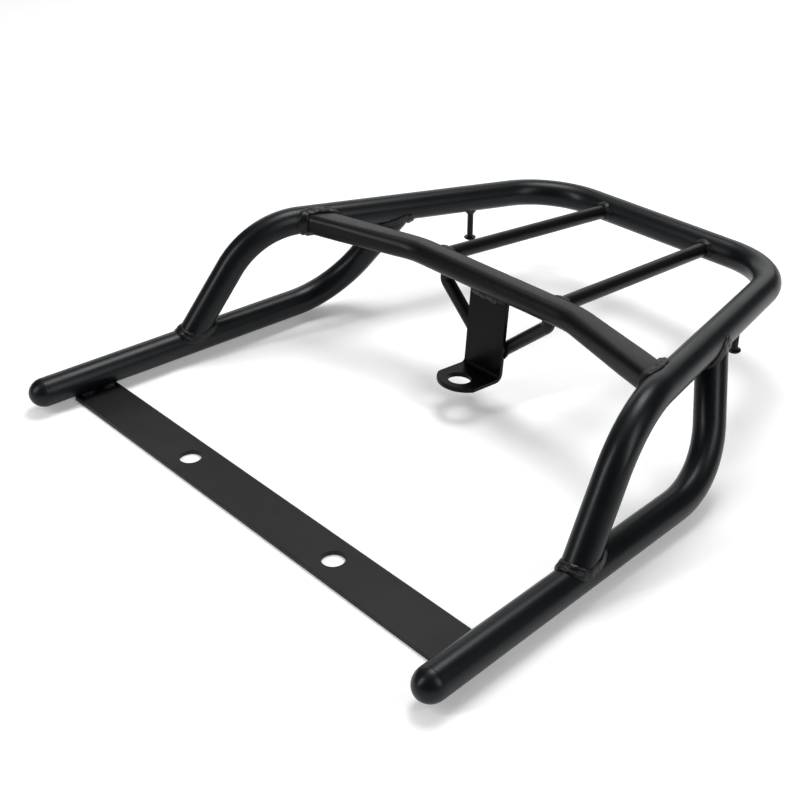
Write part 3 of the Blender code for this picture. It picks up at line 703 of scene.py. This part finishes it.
tip_corner_y = FOOT_TIP_Y - math.sqrt(FOOT_TIP_R ** 2 - STRAP_HALF_WIDTH ** 2) - FOOT_HOLE_Y
foot_corners = [(x * STRAP_HALF_WIDTH, y) for x in (-1, 1)
                for y in (FOLD_CENTRE[0] - FOOT_HOLE_Y, tip_corner_y)]
foot = round_hole(FOOT_HOLE_R, foot_reach, foot_corners, 96) + [0, FOOT_HOLE_Y]
foot_points = in_platform(foot[..., 0], foot[..., 1], FOLD_CENTRE[1] - FOLD_R).reshape(-1, 3)
on_fold = np.sort(foot[-1][np.abs(foot[-1][:, 1] - FOLD_CENTRE[0]) < 1e-6][:, 0])
strap_run = np.linspace(STRAP_TOP, FOLD_CENTRE[1], 12)
strap_line = np.vstack([np.column_stack([np.full_like(strap_run, STRAP_MID), strap_run]),
                        arc(FOLD_CENTRE, FOLD_R, 0, -90, 9)[1:]])
strap_points = in_platform(np.tile(on_fold, len(strap_line)), strap_line[:, 0].repeat(len(on_fold)),
                           strap_line[:, 1].repeat(len(on_fold)))
faces = np.vstack([grid_faces(*foot.shape[:2]),
                   grid_faces(len(strap_line), len(on_fold), len(foot_points), closed=False)])
# The bracket gets the darker copy of the coat, painted shade on its front face.
stand_in(flat_bar("folded_bracket", np.vstack([foot_points, strap_points]), faces,
                  unit(PLATFORM_Z - PLATFORM_Y)), "centre_bracket", "fold")

# %% [markdown]
# ## Strap pegs
#
# A peg hangs under each side of the hoop, for the hook of a luggage strap.  It is turned like
# the domes: a pin with a domed head.

# %% The pegs
PEG_Y, PEG_INSET, PEG_DROP = 332.0, 2.5 * MM, 31.8 * MM
PEG_R, PEG_HEAD_R, PEG_HEAD_T = 2.2 * MM, 4.4 * MM, 2.6 * MM
PEG_NECK_R, PEG_RIM_R, PEG_RIM_T, PEG_START = 0.5 * MM, 0.6 * MM, 0.4 * MM, 9.0 * MM
PEG_TOP = PEG_DROP - PEG_HEAD_T - PEG_START
peg_profile = np.vstack([
    [[0, PEG_TOP], [PEG_R, PEG_TOP]],
    arc((PEG_R + PEG_NECK_R, PEG_NECK_R), PEG_NECK_R, 180, 270, 4),
    arc((PEG_HEAD_R - PEG_RIM_R, -PEG_RIM_R), PEG_RIM_R, 90, 0, 5),
    arc((0, 0), 1, -12, -84, 9) * [PEG_HEAD_R, PEG_HEAD_T - PEG_RIM_T] - [0, PEG_RIM_T],
    [[0, -PEG_HEAD_T]]])
peg_feet = {}
for side_name, side in SIDES.items():
    above = on_hoop_side(share_at(PEG_Y), side)
    peg_feet[side] = above - ACROSS * PEG_INSET * side
    stand_in(turned(f"peg_{side_name}", peg_profile,
                    peg_feet[side] - UP * (PEG_DROP - PEG_HEAD_T), UP),
             f"strap_peg_{side_name}", "rod")

# %% [markdown]
# ## Weld beads
#
# A bead of weld is a row of small puddles, each frozen over the edge of the one before, in the
# corner between two pieces.  Its two toes lie on the two surfaces, and its crown stands proud of
# the line between them.  The coat softens the ripples but doesn't hide them.  So a bead here is
# a closed section, carried along the corner, whose toes wander and whose crown ripples.

# %% Surfaces that a toe can lie on
TOE_DEPTH = 0.15 * MM


def onto_bar(main):
    """Puts points a hair under a round bar's surface: foot on the axis + radius * way out."""
    spot, axis, radius = main

    def put(points):
        foot = spot + ((points - spot) @ axis)[:, None] * axis
        return foot + unit(points - foot) * (radius - TOE_DEPTH)
    return put


def onto_pressed(tip, across, up, corner):
    """The same for the crossmember: from the nearest point of its inner core, corner radius out."""
    core = np.array([CROSS_HALF_WIDTH - corner, CROSS_HALF_DEPTH - corner])

    def put(points):
        flat = np.stack([(points - tip) @ across, (points - tip) @ up], axis=-1)
        inside = np.clip(flat, -core, core)
        moved = inside + unit(flat - inside + 1e-12) * (corner - TOE_DEPTH) - flat
        return points + moved[:, :1] * across + moved[:, 1:] * up
    return put


def onto_flat(spot, facing):
    """The same for a flat face."""
    return lambda points: points - ((points - spot) @ facing + TOE_DEPTH)[:, None] * facing


# %% The bead
BEAD_STEP = 0.4 * MM
# Of each weld, in mm: the legs on both surfaces, the crown, and the pitch of its puddles.
WELDS = {name: ((main_leg * MM, side_leg * MM), crown * MM, pitch * MM)
         for name, main_leg, side_leg, crown, pitch in (
             ("leg", 3.8, 3.4, 1.3, 3.6), ("rail_top", 3.4, 3.0, 1.2, 3.4),
             ("peg", 1.9, 2.0, 0.5, 2.2), ("plate", 3.2, 3.4, 0.8, 2.6),
             ("rod_rear", 2.4, 2.4, 0.8, 2.6), ("rod_front", 2.4, 2.6, 0.8, 2.8),
             ("brace_top", 2.2, 2.2, 0.7, 2.6), ("brace_foot", 2.4, 2.2, 0.6, 2.8),
             ("crossmember", 4.8, 3.2, 1.6, 12), ("bracket", 2.8, 4.4, 1.2, 8))}
SECTION_ANGLE = np.linspace(0, 2 * math.pi, 28, endpoint=False)
dice = np.random.default_rng(11)


def wander(turn):
    """Unevenness round a bead, from -1 to 1: five waves, of random turns of phase."""
    waves = np.array([2, 3, 5, 8, 13])
    phase = dice.uniform(0, 2 * math.pi, len(waves))
    return (np.sin(np.multiply.outer(turn, waves) + phase) * [0.3, 0.25, 0.2, 0.15, 0.1]).sum(-1)


def bead(name, corner, onto_main, onto_side, legs, crown, pitch, closed=True):
    """Weld bead along a corner, given as its line and the outward ways of the two surfaces.

    Toes lie about one leg away from the corner on either surface, and wander.  Over the line
    between them the section is high * sin(angle)^0.7, which has fuller shoulders than an ellipse.
    Under it the section is half an ellipse, deep enough to go under the corner.  high is
    crown * (1 + 0.45 * wander) * (0.86 + 0.14 * ripple), and the ripple is
    |sin(pi * (beat - 0.45 * sin(angle)))|, which leans forwards in the middle of the bead.  beat
    counts the puddles, distance / pitch, and wanders too.  The height is then multiplied by
    1 - depth * exp(-((across - seam) / 0.28)^2), the valley between two passes of weld, whose
    seam and depth wander.  A bead that isn't closed tapers at both its ends.
    """
    line, main_way, side_way = evenly(corner[0], corner, BEAD_STEP, closed)
    distance = np.arange(len(line)) * BEAD_STEP
    length = len(line) * BEAD_STEP
    turn = 2 * math.pi * distance / length
    along = unit(np.roll(line, -1, 0) - np.roll(line, 1, 0) if closed
                 else np.gradient(line, axis=0))
    main_way, side_way = (unit(way - (way * along).sum(1, keepdims=True) * along)
                          for way in (main_way, side_way))
    lean = (main_way * side_way).sum(1, keepdims=True)
    taper = (np.ones_like(turn) if closed
             else (1 - np.abs(2 * distance / distance[-1] - 1) ** 5) ** 0.5)
    taper = np.maximum(taper, 0.02)[:, None]
    puddles = round(length / pitch)
    beat = puddles * distance / length + 0.6 * wander(turn)
    bulge = np.abs(np.sin(math.pi * beat))[:, None]
    toes = [put(line + unit(away) * leg * taper
                * (0.92 + 0.28 * wander(turn)[:, None] + 0.06 * bulge))
            for put, away, leg in ((onto_main, side_way - lean * main_way, legs[0]),
                                   (onto_side, main_way - lean * side_way, legs[1]))]
    middle, half = (toes[0] + toes[1]) / 2, (toes[1] - toes[0]) / 2
    chord = unit(half)
    out = main_way + side_way
    out = unit(out - (out * chord).sum(1, keepdims=True) * chord)
    under = np.maximum(((middle - line) * out).sum(1, keepdims=True), 0) + 0.5 * MM * taper
    wave, tall = np.cos(SECTION_ANGLE), np.sin(SECTION_ANGLE)
    ripple = np.abs(np.sin(math.pi * (beat[:, None] - 0.45 * np.maximum(tall, 0))))
    high = crown * taper * (1 + 0.45 * wander(turn)[:, None]) * (0.86 + 0.14 * ripple)
    seam, depth = 0.7 * wander(turn)[:, None], 0.3 + 0.3 * wander(turn)[:, None]
    passes = 1 - depth * np.exp(-((wave - seam) / 0.28) ** 2)
    height = np.where(tall > 0, high * passes * np.maximum(tall, 0) ** 0.7, under * tall)
    rows = (middle[:, None] + wave[:, None] * half[:, None] + height[..., None] * out[:, None])
    return surface(name, rows, None if closed else np.stack([rows[0].mean(0), rows[-1].mean(0)]))


# %% [markdown]
# ## Welds between tubes
#
# The corner where a tube sits on another is the line that the fish mouth follows.  The way out
# of the upper tube at each point of it is the ring's own radius.


# %% Corner lines
def corner_on_bar(tip, out, section, across, up, main, squeeze=1.0):
    """Line where a bar's surface comes out of a round bar, and both ways out of the metal.

    section is (across, up) pairs of the bar's outline, in order round it.
    """
    ring = section[:, :1] * across + section[:, 1:] * up
    line = tip + ring + way_out(tip + ring, out, main, squeeze)[:, None] * out
    normal = np.roll(section, -1, 0) - np.roll(section, 1, 0)
    normal = unit(normal[:, 1:] * across - normal[:, :1] * up)
    return line, unit(square_to(line - main[0], main[1])), normal


def round_joint(name, node, tip, far, radius, main, legs, crown, pitch, squeeze=1.0):
    """Bead where a round bar from tip to far leaves a round bar."""
    out = unit(far - tip)
    across = unit(np.cross(out, main[1]))
    corner = corner_on_bar(tip, out, round_section(radius, 96), across, np.cross(out, across), main,
                           squeeze)
    stand_in(bead(name, corner, onto_bar(main), onto_bar((tip, out, radius)), legs, crown, pitch),
             node, "bead")


# %% Hoop and rails
for side_name, side in SIDES.items():
    round_joint(f"leg_bead_{side_name}", f"leg_weld_{side_name}", on_rail(HOOP_FOOT_Y, side),
                on_hoop_side(0, side), TUBE_R, RAIL_AXES[side], *WELDS["leg"], LEG_SQUEEZE)
    round_joint(f"rail_top_bead_{side_name}", f"rail_top_weld_{side_name}",
                on_hoop_side(RAIL_TOP_AT, side), place(*RAIL_BEND, 0, side), TUBE_R,
                HOOP_AXES[side], *WELDS["rail_top"])
    peg_foot = peg_feet[side]
    round_joint(f"peg_bead_{side_name}", f"peg_weld_{side_name}", peg_foot, peg_foot - UP * 20 * MM,
                PEG_R, HOOP_AXES[side], *WELDS["peg"])
    front, rear = rod_ends[side]
    round_joint(f"rod_rear_bead_{side_name}", f"rod_rear_weld_{side_name}", rear, front, CARRY_R,
                REAR_AXIS, *WELDS["rod_rear"])
    round_joint(f"rod_front_bead_{side_name}", f"rod_front_weld_{side_name}", front, rear, CARRY_R,
                CROSS_BACK, *WELDS["rod_front"])

# %% Crossmember ends
# The bead's line turns the pressed tube's corners more widely than the tube does, and its
# puddles are long, so that its ripple is slow.
SEAM_CORNER = 6.5 * MM
for side_name, side in SIDES.items():
    tip = on_hoop_side(CROSS_END_AT, side)
    out = unit(in_platform(CROSS_BEND_X * side, 0, 0) - tip)
    across = np.cross(PLATFORM_Z, out)
    outline = pressed_section(CROSS_HALF_WIDTH, CROSS_HALF_DEPTH, SEAM_CORNER, 24)
    corner = corner_on_bar(tip, out, outline, across, PLATFORM_Z, HOOP_AXES[side])
    stand_in(bead(f"crossmember_bead_{side_name}", corner, onto_bar(HOOP_AXES[side]),
                  onto_pressed(tip, across, PLATFORM_Z, CROSS_CORNER[1]), *WELDS["crossmember"]),
             f"crossmember_weld_{side_name}", "bead")

# %% [markdown]
# ## Welds of the bracket and the plate
#
# The strap hangs from the crossmember by a bead in front and one behind.  Each brace has a bead
# round the front of its top and a short one at its foot, and the front plate is stitched to
# each rail in two places.

# %% Bracket
CROSS_UNDERSIDE = onto_pressed(PLATFORM_ORIGIN, PLATFORM_Y, PLATFORM_Z, CROSS_CORNER[0])
SHORT_OF_EDGE = 0.8 * MM


def straight_corner(start, end, main_way, side_way, count=30):
    """Corner along a straight line, with the same two ways out all along it."""
    ways = (np.tile(way, (count, 1)) for way in (main_way, side_way))
    return np.linspace(start, end, count), *ways


for end, y, facing in (("front", -PLATE_T, -PLATFORM_Y), ("rear", 0.0, PLATFORM_Y)):
    half = STRAP_HALF_WIDTH - SHORT_OF_EDGE
    ends = [in_platform(x, y, -CROSS_HALF_DEPTH) for x in (-half, half)]
    corner = straight_corner(*ends, -PLATFORM_Z, facing)
    stand_in(bead(f"bracket_bead_{end}", corner, CROSS_UNDERSIDE,
                  onto_flat(in_platform(0, y, 0), facing), *WELDS["bracket"], closed=False),
             f"bracket_weld_{end}", "bead")

# %% Braces
# A foot's bead starts a little way up the brace, on the side that faces down and to the strap,
# and FOOT_LEAN is its share of each.  The model has this bead on the brace's upper side instead,
# about 9 mm away.
FOOT_BEAD_FROM, FOOT_BEAD_LENGTH, FOOT_LEAN = 0.5 * MM, 10 * MM, (0.75, 0.66)
for side_name, side in SIDES.items():
    angle = np.radians(np.linspace(-190, 10, 40))
    round_way = np.cos(angle)[:, None] * ACROSS + np.sin(angle)[:, None] * PLATFORM_Y
    centre = in_platform(BRACE_TOP_X * side, BRACE_Y, -CROSS_HALF_DEPTH)
    line = CROSS_UNDERSIDE(centre + BRACE_R * round_way)
    under = np.tile(-PLATFORM_Z, (40, 1))
    stand_in(bead(f"brace_top_bead_{side_name}", (line, under, round_way), CROSS_UNDERSIDE,
                  onto_bar((centre, PLATFORM_Z, BRACE_R)), *WELDS["brace_top"], closed=False),
             f"brace_top_weld_{side_name}", "bead")
    foot = in_platform(BRACE_FOOT_X * side, BRACE_Y, -BRACE_FOOT_DROP)
    knee = in_platform(BRACE_TOP_X * side, BRACE_Y, -BRACE_TOP_DROP)
    along = unit(knee - foot)
    below = unit(np.cross(PLATFORM_Y, along)) * side
    lower_way = unit(below * FOOT_LEAN[0] - PLATFORM_Y * FOOT_LEAN[1])
    start = foot + lower_way * BRACE_R + along * FOOT_BEAD_FROM
    corner = straight_corner(start, start + along * FOOT_BEAD_LENGTH, PLATFORM_Y, lower_way)
    stand_in(bead(f"brace_foot_bead_{side_name}", corner,
                  onto_flat(in_platform(0, 0, 0), PLATFORM_Y), onto_bar((foot, along, BRACE_R)),
                  *WELDS["brace_foot"], closed=False),
             f"brace_foot_weld_{side_name}", "bead")

# %% Plate stitches
# A stitch sits on the rail's side that faces inboard and down, by the shares in STITCH_LEAN.
STITCH_HALF, STITCH_INBOARD, STITCH_APART, STITCH_LEAN = 4.6, 5.2 * MM, 7, (0.66, 0.75)
for side_name, side in SIDES.items():
    inboard = np.cross(UP, RAIL_AXES[side][1]) * side
    tube_way = unit(inboard * STITCH_LEAN[0] - UP * STITCH_LEAN[1])
    for end, y in (("front", PLATE_Y - STITCH_APART), ("rear", PLATE_Y + STITCH_APART)):
        ends = [on_rail(y + step, side) * [1, 1, 0] + UP * (PLATE_T + GAP)
                + inboard * STITCH_INBOARD for step in (-STITCH_HALF, STITCH_HALF)]
        corner = straight_corner(*ends, UP, tube_way)
        stand_in(bead(f"plate_bead_{side_name}_{end}", corner,
                      onto_flat(np.array([0, 0, PLATE_T]), UP), onto_bar(RAIL_AXES[side]),
                      *WELDS["plate"], closed=False),
                 f"plate_weld_{side_name}_{end}", "bead")
